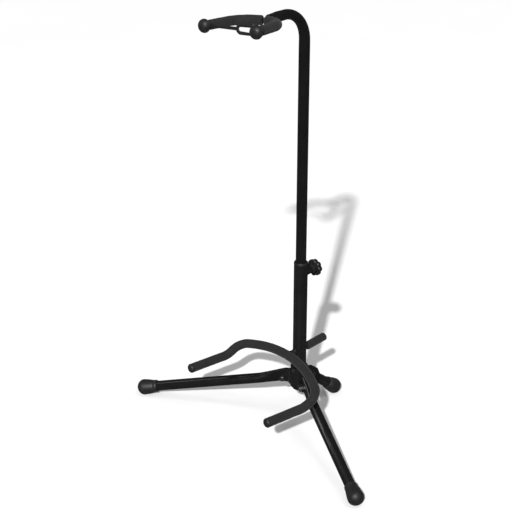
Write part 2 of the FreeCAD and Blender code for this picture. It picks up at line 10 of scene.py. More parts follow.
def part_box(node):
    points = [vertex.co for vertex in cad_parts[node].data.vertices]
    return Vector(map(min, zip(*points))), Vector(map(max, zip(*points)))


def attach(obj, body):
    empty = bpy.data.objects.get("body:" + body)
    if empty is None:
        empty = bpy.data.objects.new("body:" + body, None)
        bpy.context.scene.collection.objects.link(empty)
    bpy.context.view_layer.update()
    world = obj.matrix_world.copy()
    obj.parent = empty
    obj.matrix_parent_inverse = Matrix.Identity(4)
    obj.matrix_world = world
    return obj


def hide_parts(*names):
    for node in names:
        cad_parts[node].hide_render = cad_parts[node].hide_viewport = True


bl_info = {
    "name": "Guitar Stand",
    "version": (1, 0, 0),
    "blender": (4, 5, 0),
    "location": "View3D > Sidebar > Stand",
    "description": "Finishes a tubular guitar stand: tubes, foam, rubber feet, strap, knob, welds, paint",
    "category": "Object",
}

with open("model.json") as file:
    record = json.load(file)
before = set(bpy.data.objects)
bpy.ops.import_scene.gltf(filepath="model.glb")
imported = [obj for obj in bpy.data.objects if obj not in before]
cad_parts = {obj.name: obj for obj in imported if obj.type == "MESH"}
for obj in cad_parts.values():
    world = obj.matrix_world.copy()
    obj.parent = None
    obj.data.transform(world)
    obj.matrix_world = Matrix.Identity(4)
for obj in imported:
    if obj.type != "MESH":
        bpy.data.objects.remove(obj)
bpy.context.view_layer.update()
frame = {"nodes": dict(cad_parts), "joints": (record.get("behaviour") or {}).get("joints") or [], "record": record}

MM = 0.001
X_AXIS, Y_AXIS, Z_AXIS = Vector((1, 0, 0)), Vector((0, 1, 0)), Vector((0, 0, 1))
QUARTER = math.pi / 2
SIDES = (("left", -1), ("right", 1))
LEGS = ("left", "right", "rear")
ROUND = 48                  # points round a turned piece or a sleeve


# ---------------------------------------------------------------- sizes taken from the frame


def node_radius(node, axis):
    """Half of a node's extent along one axis."""
    low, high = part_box(node)
    return (high[axis] - low[axis]) / 2


def joint_place(name):
    """The point that a hinge turns about."""
    return Vector(next(row for row in frame["joints"] if row["name"] == name)["pos_m"])


MAST_RADIUS = node_radius("lower_tube", 0)
NECK_RADIUS = node_radius("upper_tube", 0)
PEG_HEIGHT = (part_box("rear_peg")[0].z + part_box("rear_peg")[1].z) / 2
CLAMP_HEIGHT = joint_place("knob_turn").z

# Cradle rod, as it lies before it is turned about the mast
CRADLE_TURN = math.radians(-10)
CRADLE_APEX = Vector((0, -24, 129)) * MM
CRADLE_SLOPE = math.radians(28.8)       # its middle slants down and forward
CRADLE_SWEEP = math.radians(25)         # each half of the middle runs forward by this
CRADLE_HALF_WIDTH = 115 * MM
CRADLE_DROP = 30.5 * MM                 # from the middle down to the level arms
CRADLE_REACH = 138 * MM
CRADLE_MIDDLE_BEND = 220 * MM
CRADLE_BENDS = [36 * MM, 30 * MM, CRADLE_MIDDLE_BEND, 30 * MM, 36 * MM]
ROD_RADIUS = 4 * MM
SLEEVE_INSET = 2 * MM                   # bare rod past the cradle's foam, inside the caps

# Gooseneck and neck yoke
YOKE_MIDDLE = Vector((0, -96.5, 775.5)) * MM
GOOSENECK_RISE = math.radians(0.5)
GOOSENECK_BEND = 52 * MM
YOKE_TURN, YOKE_RISE, YOKE_ROLL = (math.radians(angle) for angle in (5.5, 4.5, 4.5))
YOKE_SHOULDER = (42.3 * MM, 10.3 * MM)  # sideways and ahead of the middle
YOKE_TIP = (50.9 * MM, 89.6 * MM)
YOKE_BEND = 40 * MM
YOKE_PLUG_LENGTH = 12 * MM              # from the gooseneck's end to the rod's middle
STRAP_SET_BACK = 8.4 * MM               # from the arms' tips back to the strap's middle
END_PRESSED = 0.2                       # how much flatter the tube's end is at the yoke

# Legs and feet
FOOT_CENTRE = 14 * MM                   # height of the middle of a foot's round end
LEG_OFFSETS = {"left": 3.4 * MM, "right": 3.4 * MM, "rear": -2.0 * MM}  # the leg's line above its pivot

FLAT_ANGLE = math.radians(0.5)          # faces of a CAD mesh within this of each other are one
CRISP_ANGLE = math.radians(28)          # edges of a CAD mesh beyond this are rounded over


def metres(name, description, default, low, high):
    """A setting that is a length."""
    return FloatProperty(name=name, description=description, default=default, min=low, max=high,
                         unit="LENGTH")


class StandSizes(bpy.types.PropertyGroup):
    """Sizes that can be changed without a new frame."""

    cradle_sleeve_radius: metres(
        "Cradle sleeve radius", "Outer radius of the cradle's foam", 8.6 * MM, 5 * MM, 12 * MM)
    yoke_sleeve_radius: metres(
        "Yoke sleeve radius", "Outer radius of the neck yoke's foam", 8.25 * MM, 5 * MM, 12 * MM)
    peg_sleeve_radius: metres(
        "Peg sleeve radius", "Outer radius of the rear peg's foam", node_radius("peg_foam", 0), 5 * MM,
        12 * MM)
    sleeve_edge: metres("Sleeve edge", "Rounding of the foam's cut ends", 1.6 * MM, 0.2 * MM, 3 * MM)
    foam_unevenness: metres(
        "Foam unevenness", "Height of the slow waves in the foam's skin", 0.14 * MM, 0.0, 0.5 * MM)
    foot_radius: metres("Foot radius", "Radius of the rubber foot's round end", 15 * MM, 10 * MM, 18 * MM)
    ball_radius: metres("Ball radius", "Radius of the balls on the yoke's tips", 11.1 * MM, 8 * MM, 14 * MM)
    knob_radius: metres(
        "Knob radius", "Outer radius of the clamp knob", node_radius("knob", 2), 10 * MM, 18 * MM)
    knob_lobes: IntProperty(
        name="Knob lobes", description="Number of grips round the knob", default=8, min=3, max=12)
    weld_radius: metres("Weld radius", "Thickness of the weld beads", 1.3 * MM, 0.5 * MM, 3 * MM)
    gooseneck_flattening: FloatProperty(
        name="Gooseneck flattening", description="How much thinner the tube gets where it is bent",
        default=0.12, min=0.0, max=0.3, subtype="FACTOR")
    edge_width: metres(
        "Edge width", "Width of the softened edges on metal pieces", 0.35 * MM, 0.05 * MM, 1 * MM)


def colour(name, description, default):
    """A colour setting."""
    return FloatVectorProperty(name=name, description=description, default=default, min=0, max=1, size=3,
                               subtype="COLOR")


class StandColours(bpy.types.PropertyGroup):
    """Base colours of the finishes."""

    paint: colour("Paint", "Powder coat on the tubes", (0.0042, 0.0042, 0.0044))
    foam: colour("Foam", "Foam rubber sleeves", (0.0125, 0.0125, 0.013))
    rubber: colour("Rubber", "Feet, balls, caps and strap", (0.0075, 0.0075, 0.0078))
    plastic: colour("Plastic", "Knob and tube plugs", (0.006, 0.006, 0.0063))
    steel: colour("Black steel", "Bolts, nuts and screws", (0.20, 0.20, 0.205))
    floor: colour("Floor", "Pale studio floor", (0.86, 0.86, 0.86))


# ---------------------------------------------------------------- lines and meshes


def bent_line(corners, bends, step=2 * MM):
    """Points along straight runs through the corners, with a tangent arc at each inner corner."""
    points = [corners[0]]

    def run_to(goal):
        start = points[-1]
        count = max(1, math.ceil((goal - start).length / step))
        points.extend(start.lerp(goal, k / count) for k in range(1, count + 1))

    for before, corner, after, bend in zip(corners, corners[1:], corners[2:], bends):
        back = (before - corner).normalized()
        ahead = (after - corner).normalized()
        half_turn = (math.pi - back.angle(ahead)) / 2
        cut = bend * math.tan(half_turn)
        start, end = corner + back * cut, corner + ahead * cut
        centre = corner + (back + ahead).normalized() * (bend / math.cos(half_turn))
        run_to(start)
        spoke = start - centre
        axis = spoke.cross(end - centre).normalized()
        count = max(4, math.ceil(2 * half_turn * bend / step))
        points.extend(centre + Matrix.Rotation(2 * half_turn * k / count, 3, axis) @ spoke
                      for k in range(1, count + 1))
    run_to(corners[-1])
    return points


class Guide:
    """A line with a direction, a side and an up at any distance along it."""

    def __init__(self, line, side):
        self.line = line
        self.reach = [0.0]
        for a, b in zip(line, line[1:]):
            self.reach.append(self.reach[-1] + (b - a).length)
        self.length = self.reach[-1]
        self.frames = []
        last = len(line) - 1
        for index in range(len(line)):
            ahead = (line[min(index + 1, last)] - line[max(index - 1, 0)]).normalized()
            side = (side - ahead * side.dot(ahead)).normalized()
            self.frames.append((ahead, side))

    def at(self, distance):
        """Point, direction, side and up at a distance; the line runs on straight beyond its ends."""
        index = 0
        while index < len(self.line) - 2 and self.reach[index + 1] < distance:
            index += 1
        share = (distance - self.reach[index]) / (self.reach[index + 1] - self.reach[index])
        held = min(max(share, 0.0), 1.0)
        point = self.line[index] + (self.line[index + 1] - self.line[index]) * share
        ahead = self.frames[index][0].lerp(self.frames[index + 1][0], held).normalized()
        side = self.frames[index][1].lerp(self.frames[index + 1][1], held)
        side = (side - ahead * side.dot(ahead)).normalized()
        return point, ahead, side, ahead.cross(side)


def circle(radius, count=ROUND):
    """Points of a circle as (side, up)."""
    return [(radius * math.cos(2 * math.pi * k / count), radius * math.sin(2 * math.pi * k / count))
            for k in range(count)]


def soft_box(half_side, half_up, power=5.0, count=24):
    """Points of a rectangle with rounded corners as (side, up)."""
    points = []
    for k in range(count):
        c, s = math.cos(2 * math.pi * (k + 0.5) / count), math.sin(2 * math.pi * (k + 0.5) / count)
        size = (abs(c) ** power + abs(s) ** power) ** (-1 / power)
        points.append((half_side * c * size, half_up * s * size))
    return points


def rings_along(guide, stations):
    """Closed rings: a station is (distance, outline)."""
    rings = []
    for distance, outline in stations:
        point, _, side, up = guide.at(distance)
        rings.append([point + side * a + up * b for a, b in outline])
    return rings


def turned(place, outward, profile, side=Z_AXIS):
    """Rings of a round piece: a profile point is (distance along the axis, distance from it)."""
    return rings_along(Guide([place, place + outward], side), [(at, circle(size)) for at, size in profile])


def eased(value, start, end):
    """0 up to the start, 1 past the end, and a smooth step between them."""
    share = min(max((value - start) / (end - start), 0.0), 1.0)
    return share * share * (3 - 2 * share)


def rounded_stations(length, radius, edge, bore, step=2 * MM, deep=3 * MM):
    """Distances and radii of a sleeve with rounded ends and a bore that shows a little way in."""
    turns = [k / 5 * QUARTER for k in range(6)]
    start = [(deep, bore), (0.0, bore)] + [(edge * (1 - math.sin(t)), radius - edge * (1 - math.cos(t)))
                                           for t in reversed(turns)]
    count = max(2, math.ceil((length - 2 * edge) / step))
    middle = [(edge + (length - 2 * edge) * k / count, radius) for k in range(1, count)]
    end = [(length - distance, size) for distance, size in reversed(start)]
    return start + middle + end


def skin(rings, looped=False, capped=True):
    """Vertices and faces over rings of equal size."""
    size = len(rings[0])
    vertices = [point for ring in rings for point in ring]
    faces = []
    pairs = list(range(len(rings) - 1))
    if looped:
        pairs.append(len(rings) - 1)
    for row in pairs:
        near, far = row * size, ((row + 1) % len(rings)) * size
        for k in range(size):
            after = (k + 1) % size
            faces.append((near + k, near + after, far + after, far + k))
    if capped and not looped:
        faces.append(tuple(reversed(range(size))))
        faces.append(tuple(range(len(vertices) - size, len(vertices))))
    return vertices, faces


def uneven(rings, height, spacing):
    """Moves the rings' points in and out from each ring's middle in slow waves."""
    for ring in rings:
        middle = sum(ring, Vector()) / len(ring)
        for k, point in enumerate(ring):
            ring[k] = point + (point - middle).normalized() * height * noise.noise(point / spacing)


def piece(name, skins, material, body, replaced=(), sharp=38):
    """One mesh object from several skins, riding on a body and standing for the CAD nodes it replaces."""
    mesh = bpy.data.meshes.new(name)
    vertices, faces = [], []
    for points, polygons in skins:
        offset = len(vertices)
        vertices.extend(points)
        faces.extend(tuple(index + offset for index in polygon) for polygon in polygons)
    mesh.from_pydata([tuple(point) for point in vertices], [], faces)
    if not mesh.polygons:
        raise RuntimeError(name + " has no faces")
    work = bmesh.new()
    work.from_mesh(mesh)
    bmesh.ops.remove_doubles(work, verts=work.verts, dist=1e-6)
    bmesh.ops.recalc_face_normals(work, faces=work.faces)
    shade(work, mesh, sharp)
    return placed(name, mesh, material, body, replaced)


def shade(work, mesh, sharp):
    """Writes the mesh back with smooth faces, and sharp edges where two meet at over that many degrees."""
    for face in work.faces:
        face.smooth = True
    for edge in work.edges:
        edge.smooth = len(edge.link_faces) == 2 and edge.calc_face_angle(0.0) < math.radians(sharp)
    work.to_mesh(mesh)
    work.free()


def placed(name, mesh, material, body, replaced):
    """An object in the scene that rides on a body and stands for the CAD nodes it replaces."""
    mesh.materials.clear()
    mesh.materials.append(material)
    thing = bpy.data.objects.new(name, mesh)
    bpy.context.scene.collection.objects.link(thing)
    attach(thing, body)
    if replaced:
        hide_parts(*replaced)
    return thing


def softened(node, name, material):
    """A copy of a CAD node's mesh with its edges rounded over."""
    mesh = frame["nodes"][node].data.copy()
    mesh.name = name
    work = bmesh.new()
    work.from_mesh(mesh)
    bmesh.ops.remove_doubles(work, verts=work.verts, dist=2e-6)
    bmesh.ops.dissolve_limit(work, angle_limit=FLAT_ANGLE, verts=work.verts, edges=work.edges)
    crisp = [edge for edge in work.edges
             if len(edge.link_faces) == 2 and edge.calc_face_angle(0.0) > CRISP_ANGLE]
    bmesh.ops.bevel(work, geom=crisp, offset=bpy.context.scene.stand_sizes.edge_width, segments=2,
                    profile=0.6, affect="EDGES", clamp_overlap=True)
    shade(work, mesh, sharp=40)
    return placed(name, mesh, material, body_of_node(node), [node])


def body_of_node(node):
    """The body that a CAD node rides on."""
    bodies = frame["record"]["behaviour"]["bodies"]
    return next(body for body, members in bodies.items() if node in members)


def coat(nodes, material):
    """Gives CAD nodes a finish."""
    for node in nodes:
        thing = frame["nodes"][node]
        if not thing.material_slots:
            thing.data.materials.append(material)
        for holder in thing.material_slots:
            holder.link = "OBJECT"
            holder.material = material


# ---------------------------------------------------------------- finishes


class Finish:
    """A material being wired: its nodes, its shader and shorthand for the nodes used most."""

    def __init__(self, name):
        self.material = bpy.data.materials.new(name)
        self.material.use_nodes = True
        self.tree = self.material.node_tree
        self.shader = self.tree.nodes["Principled BSDF"]
        self.place = self.add("ShaderNodeTexCoord").outputs["Object"]

    def add(self, kind, **settings):
        """A new node with its settings."""
        node = self.tree.nodes.new(kind)
        for key, value in settings.items():
            setattr(node, key, value)
        return node

    def link(self, output, target):
        self.tree.links.new(output, target)

    def set(self, **sockets):
        """Constant values on the shader's own sockets."""
        for key, value in sockets.items():
            self.shader.inputs[key.replace("_", " ")].default_value = value

    def stretched(self, scale):
        """The object's coordinates, scaled per axis."""
        node = self.add("ShaderNodeMapping")
        node.inputs["Scale"].default_value = scale
        self.link(self.place, node.inputs["Vector"])
        return node.outputs["Vector"]

    def noise(self, size, detail=3.0, rough=0.55, place=None):
        """Noise whose features are about that size in metres."""
        node = self.add("ShaderNodeTexNoise")
        node.inputs["Scale"].default_value = 1 / size
        node.inputs["Detail"].default_value = detail
        node.inputs["Roughness"].default_value = rough
        self.link(place or self.place, node.inputs["Vector"])
        return node.outputs["Fac"]

    def patches(self, size, detail, to_low=0.0, to_high=1.0, rough=0.55):
        """Soft patches of about that size, between two values."""
        return self.spread(self.noise(size, detail, rough), 0.3, 0.7, to_low, to_high)

    def cells(self, size):
        """Distance to the middle of the nearest cell, for cells of about that size."""
        node = self.add("ShaderNodeTexVoronoi")
        node.inputs["Scale"].default_value = 1 / size
        self.link(self.place, node.inputs["Vector"])
        return node.outputs["Distance"]

    def spread(self, value, low, high, to_low, to_high):
        """Maps a value from one range to another, held at the ends."""
        node = self.add("ShaderNodeMapRange")
        for key, number in (("From Min", low), ("From Max", high), ("To Min", to_low), ("To Max", to_high)):
            node.inputs[key].default_value = number
        self.link(value, node.inputs["Value"])
        return node.outputs["Result"]

    def mixed(self, share, first, second):
        """Mixes two colours; each is a colour or an output."""
        node = self.add("ShaderNodeMix", data_type="RGBA")
        self.link(share, node.inputs["Factor"])
        for socket, value in ((node.inputs[6], first), (node.inputs[7], second)):
            if isinstance(value, tuple):
                socket.default_value = value
            else:
                self.link(value, socket)
        return node.outputs[2]

    def sum(self, first, second, weight):
        """first + second * weight."""
        node = self.add("ShaderNodeMath", operation="MULTIPLY_ADD")
        self.link(second, node.inputs[0])
        node.inputs[1].default_value = weight
        self.link(first, node.inputs[2])
        return node.outputs[0]

    def edges(self, low=0.51, high=0.6):
        """1 on worn outer edges and 0 elsewhere."""
        geometry = self.add("ShaderNodeNewGeometry")
        return self.spread(geometry.outputs["Pointiness"], low, high, 0.0, 1.0)

    def upward(self):
        """1 on faces that look up, where dust settles."""
        geometry = self.add("ShaderNodeNewGeometry")
        parts = self.add("ShaderNodeSeparateXYZ")
        self.link(geometry.outputs["Normal"], parts.inputs[0])
        return self.spread(parts.outputs["Z"], 0.3, 1.0, 0.0, 1.0)

    def times(self, first, second):
        """One value times another."""
        node = self.add("ShaderNodeMath", operation="MULTIPLY")
        self.link(first, node.inputs[0])
        self.link(second, node.inputs[1])
        return node.outputs[0]

    def bump(self, height, distance, strength):
        """Fine relief of the surface."""
        node = self.add("ShaderNodeBump")
        node.inputs["Strength"].default_value = strength
        node.inputs["Distance"].default_value = distance
        self.link(height, node.inputs["Height"])
        self.link(node.outputs["Normal"], self.shader.inputs["Normal"])

    def base(self, output):
        self.link(output, self.shader.inputs["Base Color"])

    def roughness(self, output):
        self.link(output, self.shader.inputs["Roughness"])


def tint(base, factor):
    """A colour made lighter or darker, with full alpha."""
    return tuple(min(1.0, part * factor) for part in base) + (1.0,)


def finished(maker, base):
    """The finish that a maker gives, made once and named after it."""
    return bpy.data.materials.get(maker.__name__) or maker(maker.__name__, base)


def powder_coat(name, base):
    """Semi-gloss powder coat with a fine orange peel, faint scuffs and thinned edges."""
    f = Finish(name)
    clouds = f.patches(40 * MM, 4)
    painted = f.mixed(clouds, tint(base, 0.82), tint(base, 1.25))
    scuffs = f.noise(3 * MM, 5, 0.7, f.stretched((1.0, 1.0, 0.12)))
    scuffed = f.spread(scuffs, 0.62, 0.72, 0.0, 0.35)
    worn = f.mixed(scuffed, painted, tint(base, 2.2))
    edged = f.mixed(f.times(f.edges(), f.spread(clouds, 0.0, 1.0, 0.3, 0.8)), worn, tint(base, 4.0))
    f.base(edged)
    f.roughness(f.sum(f.patches(14 * MM, 4, 0.17, 0.25), scuffed, 0.3))
    peel = f.sum(f.noise(1.1 * MM, 2, 0.5), f.noise(4 * MM, 2), 0.6)
    f.bump(peel, 0.02 * MM, 0.4)
    f.set(Specular_IOR_Level=0.5, Coat_Weight=0.5, Coat_Roughness=0.1)
    return f.material


def weld_coat(name, base):
    """Powder coat over a weld bead: the same black, duller and thicker in the ripples."""
    f = Finish(name)
    clouds = f.patches(5 * MM, 4)
    painted = f.mixed(clouds, tint(base, 0.8), tint(base, 1.5))
    f.base(f.mixed(f.edges(), painted, tint(base, 2.5)))
    f.roughness(f.patches(2 * MM, 4, 0.45, 0.6))
    f.bump(f.noise(1.5 * MM, 3), 0.05 * MM, 0.4)
    f.set(Specular_IOR_Level=0.4)
    return f.material


def foam_skin(name, base):
    """Matt foam rubber: fine closed cells with painted shade in their pits, soft mottling and a dusty sheen."""
    f = Finish(name)
    pores = f.cells(0.75 * MM)
    mottle = f.patches(6 * MM, 4, rough=0.6)
    ground = f.mixed(mottle, tint(base, 0.8), tint(base, 1.22))
    # Painted shade: the pits of the cells, where the bump sinks, are painted darker than the foam around them.
    pits_shaded = f.mixed(f.spread(pores, 0.15, 0.6, 0.0, 1.0), tint(base, 0.62), ground)
    rubbed = f.mixed(f.spread(f.noise(22 * MM, 3), 0.5, 0.75, 0.0, 0.4), pits_shaded, tint(base, 1.6))
    dusty = f.mixed(f.times(f.upward(), f.spread(f.noise(2.5 * MM, 4), 0.45, 0.75, 0.0, 0.3)), rubbed,
                    tint(base, 2.2))
    f.base(dusty)
    f.roughness(f.patches(5 * MM, 3, 0.78, 0.95))
    grain = f.sum(f.noise(0.9 * MM, 4, 0.7), pores, 0.8)
    f.bump(f.sum(grain, f.noise(5 * MM, 3), 1.4), 0.22 * MM, 0.7)
    f.set(Specular_IOR_Level=0.25, Sheen_Weight=0.06, Sheen_Roughness=0.5)
    return f.material


def moulded_rubber(name, base):
    """Satin moulded rubber with a fine skin, rubbed patches and dust on top."""
    f = Finish(name)
    mottle = f.patches(7 * MM, 4)
    ground = f.mixed(mottle, tint(base, 0.8), tint(base, 1.3))
    rubbed = f.mixed(f.times(f.edges(0.50, 0.58), mottle), ground, tint(base, 2.4))
    dusty = f.mixed(f.times(f.upward(), f.spread(f.noise(1.6 * MM, 5), 0.5, 0.8, 0.0, 0.35)), rubbed,
                    tint(base, 3.2))
    f.base(dusty)
    f.roughness(f.patches(3.5 * MM, 4, 0.42, 0.62))
    f.bump(f.sum(f.noise(0.6 * MM, 3), f.noise(4 * MM, 2), 0.8), 0.07 * MM, 0.6)
    f.set(Specular_IOR_Level=0.4, Sheen_Weight=0.03, Sheen_Roughness=0.5)
    return f.material


def moulded_plastic(name, base):
    """Matt moulded plastic with an etched texture and polished edges."""
    f = Finish(name)
    mottle = f.patches(9 * MM, 3)
    ground = f.mixed(mottle, tint(base, 0.85), tint(base, 1.2))
    f.base(f.mixed(f.edges(), ground, tint(base, 2.6)))
    f.roughness(f.patches(2 * MM, 4, 0.36, 0.52))
    f.bump(f.sum(f.noise(0.35 * MM, 3, 0.6), f.cells(0.8 * MM), 0.5), 0.05 * MM, 0.6)
    f.set(Specular_IOR_Level=0.5)
    return f.material


def black_steel(name, base):
    """Blackened fasteners: dark metal with bright rubbed edges and an oily mottle."""
    f = Finish(name)
    mottle = f.patches(2.5 * MM, 5, rough=0.65)
    ground = f.mixed(mottle, tint(base, 0.7), tint(base, 1.5))
    f.base(f.mixed(f.edges(0.51, 0.62), ground, tint(base, 4.5)))
    f.roughness(f.patches(1.2 * MM, 4, 0.26, 0.46))
    f.bump(f.noise(0.5 * MM, 4, 0.6), 0.04 * MM, 0.6)
    f.set(Metallic=0.85, Specular_IOR_Level=0.5)
    return f.material


def studio_floor(name, base):
    """Plain pale floor with a barely visible tone and grain."""
    f = Finish(name)
    f.base(f.mixed(f.patches(0.6, 3), tint(base, 0.99), tint(base, 1.01)))
    f.roughness(f.patches(0.2, 3, 0.72, 0.82))
    f.bump(f.noise(2 * MM, 3), 0.03 * MM, 0.3)
    f.set(Specular_IOR_Level=0.15)
    return f.material


def paint():
    return finished(powder_coat, bpy.context.scene.stand_colours.paint)


def painted_weld():
    return finished(weld_coat, bpy.context.scene.stand_colours.paint)


def foam():
    return finished(foam_skin, bpy.context.scene.stand_colours.foam)


def rubber():
    return finished(moulded_rubber, bpy.context.scene.stand_colours.rubber)


def plastic():
    return finished(moulded_plastic, bpy.context.scene.stand_colours.plastic)


def steel():
    return finished(black_steel, bpy.context.scene.stand_colours.steel)


# ---------------------------------------------------------------- guides of the bent pieces


def cradle_guide():
    """The cradle rod's line, from the left tip to the right one."""
    behind = CRADLE_MIDDLE_BEND * (1 / math.cos(CRADLE_SWEEP) - 1)

    def on_slope(x, forward):
        return Vector((x, CRADLE_APEX.y - forward * math.cos(CRADLE_SLOPE),
                       CRADLE_APEX.z - forward * math.sin(CRADLE_SLOPE)))

    half = [on_slope(CRADLE_HALF_WIDTH, CRADLE_HALF_WIDTH * math.tan(CRADLE_SWEEP) - behind),
            on_slope(CRADLE_HALF_WIDTH, CRADLE_DROP / math.sin(CRADLE_SLOPE)),
            Vector((CRADLE_HALF_WIDTH, CRADLE_APEX.y - CRADLE_REACH, CRADLE_APEX.z - CRADLE_DROP))]
    mirrored = [Vector((-point.x, point.y, point.z)) for point in reversed(half)]
    turn = Matrix.Rotation(CRADLE_TURN, 3, "Z")
    corners = [turn @ point for point in mirrored + [on_slope(0, -behind)] + half]
    return Guide(bent_line(corners, CRADLE_BENDS), Z_AXIS)


def yoke_axes():
    """The yoke's forward, right and up."""
    whole = Matrix.Rotation(YOKE_TURN, 3, "Z") @ Matrix.Rotation(-YOKE_RISE, 3, "X")
    whole = whole @ Matrix.Rotation(-YOKE_ROLL, 3, "Y")
    return whole @ -Y_AXIS, whole @ X_AXIS, whole @ Z_AXIS


def yoke_corners(side):
    """Middle, shoulder and tip of one arm."""
    forward, right, _ = yoke_axes()
    places = [YOKE_MIDDLE]
    for sideways, ahead in (YOKE_SHOULDER, YOKE_TIP):
        places.append(YOKE_MIDDLE + right * (side * sideways) + forward * ahead)
    return places


def gooseneck_guide():
    """The upper tube's line, from its lower end to the yoke plug."""
    ahead = Vector((0, -math.cos(GOOSENECK_RISE), math.sin(GOOSENECK_RISE)))
    crook = Vector((0, 0, YOKE_MIDDLE.z + YOKE_MIDDLE.y * math.tan(GOOSENECK_RISE)))
    bottom = Vector((0, 0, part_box("upper_tube")[0].z))
    end = YOKE_MIDDLE - ahead * YOKE_PLUG_LENGTH
    return Guide(bent_line([bottom, crook, end], [GOOSENECK_BEND]), X_AXIS)


def foot_place(name):
    """Centre of a foot's round end, and the direction of its leg down to it."""
    pivot = joint_place("leg_" + name + "_fold")
    mount = next(row for row in frame["record"]["mounts"] if row["name"] == "foot_" + name)
    centre = Vector(mount["pos_m"]) + Z_AXIS * FOOT_CENTRE
    away = Vector((pivot.x, pivot.y, 0)).normalized()
    gap = centre - pivot
    out, down = gap.dot(away), -gap.z
    slope = math.atan2(down, out) + math.asin(LEG_OFFSETS[name] / math.hypot(out, down))
    return centre, away * math.cos(slope) - Z_AXIS * math.sin(slope)


# ---------------------------------------------------------------- operators


class STAND_OT_stage(bpy.types.Operator):
    """Build the pale floor, the soft lights and the camera"""

    bl_idname = "stand.stage"
    bl_label = "Stage"

    def execute(self, context):
        self.floor(context.scene)
        self.key_light()
        self.strip("left_strip", self.heading(-150, 30), (0.35, 1.8), 4)
        self.strip("top_strip", self.heading(20, 62), (0.4, 1.6), 9)
        context.scene.world = self.studio_world()
        context.scene.view_settings.view_transform = "Standard"
        self.camera(context.scene)
        return {"FINISHED"}

    @staticmethod
    def floor(scene):
        """The floor, which the gloss of the black tubes doesn't mirror."""
        size, steps = 12.0, 24
        edge = [size * (k / steps - 0.5) for k in range(steps + 1)]
        row = steps + 1
        faces = [(j * row + i, j * row + i + 1, (j + 1) * row + i + 1, (j + 1) * row + i)
                 for j in range(steps) for i in range(steps)]
        mesh = bpy.data.meshes.new("floor")
        mesh.from_pydata([(x, y, 0.0) for y in edge for x in edge], [], faces)
        mesh.materials.append(finished(studio_floor, scene.stand_colours.floor))
        floor = bpy.data.objects.new("floor", mesh)
        scene.collection.objects.link(floor)
        floor.visible_glossy = False

    @classmethod
    def camera(cls, scene):
        """A camera that looks a little down on the stand's right front."""
        lens = bpy.data.cameras.new("camera")
        lens.lens = 96.03
        lens.sensor_width = 36.0
        camera = bpy.data.objects.new("camera", lens)
        aim, distance = Vector((-0.0585, -0.0545, 0.3259)), 2.424
        toward_camera = cls.heading(-47, 26)
        camera.location = aim + toward_camera * distance
        camera.rotation_euler = (-toward_camera).to_track_quat("-Z", "Y").to_euler()
        scene.collection.objects.link(camera)
        scene.camera = camera

    @staticmethod
    def studio_world():
        """An even white surround that fills the shadows, and a dim one in the gloss of the black tubes."""
        world = bpy.data.worlds.new("studio")
        world.use_nodes = True
        tree = world.node_tree
        tree.nodes.clear()
        paths = tree.nodes.new("ShaderNodeLightPath")
        out = tree.nodes.new("ShaderNodeOutputWorld")
        last = None
        for socket, strength in ((None, 0.35), ("Is Glossy Ray", 0.05), ("Is Camera Ray", 1.0)):
            sky = tree.nodes.new("ShaderNodeBackground")
            sky.inputs["Color"].default_value = (1.0, 1.0, 1.0, 1.0)
            sky.inputs["Strength"].default_value = strength
            if last is None:
                last = sky.outputs[0]
                continue
            choice = tree.nodes.new("ShaderNodeMixShader")
            tree.links.new(paths.outputs[socket], choice.inputs[0])
            tree.links.new(last, choice.inputs[1])
            tree.links.new(sky.outputs[0], choice.inputs[2])
            last = choice.outputs[0]
        tree.links.new(last, out.inputs["Surface"])
        return world

    @staticmethod
    def heading(azimuth, elevation):
        """A direction from the stand: azimuth about +Z from +X, and elevation, in degrees."""
        a, e = math.radians(azimuth), math.radians(elevation)
        return Vector((math.cos(a) * math.cos(e), math.sin(a) * math.cos(e), math.sin(e)))

    @classmethod
    def key_light(cls):
        """The light that throws the clear shadow, away from the camera and a little to its right."""
        data = bpy.data.lights.new("key_light", "SUN")
        data.energy = 4.25
        data.angle = math.radians(1.8)
        lamp = bpy.data.objects.new("key_light", data)
        lamp.rotation_euler = (-cls.heading(-56.4, 36.4)).to_track_quat("-Z", "Y").to_euler()
        bpy.context.scene.collection.objects.link(lamp)

    @staticmethod
    def strip(name, direction, size, power):
        """A soft strip light that looks at the middle of the stand."""
        middle, distance = Vector((0.0, 0.0, 0.35)), 2.6
        data = bpy.data.lights.new(name, "AREA")
        data.shape = "RECTANGLE"
        data.size, data.size_y = size
        data.energy = power
        lamp = bpy.data.objects.new(name, data)
        lamp.location = middle + direction * distance
        lamp.rotation_euler = (-direction).to_track_quat("-Z", "Y").to_euler()
        bpy.context.scene.collection.objects.link(lamp)


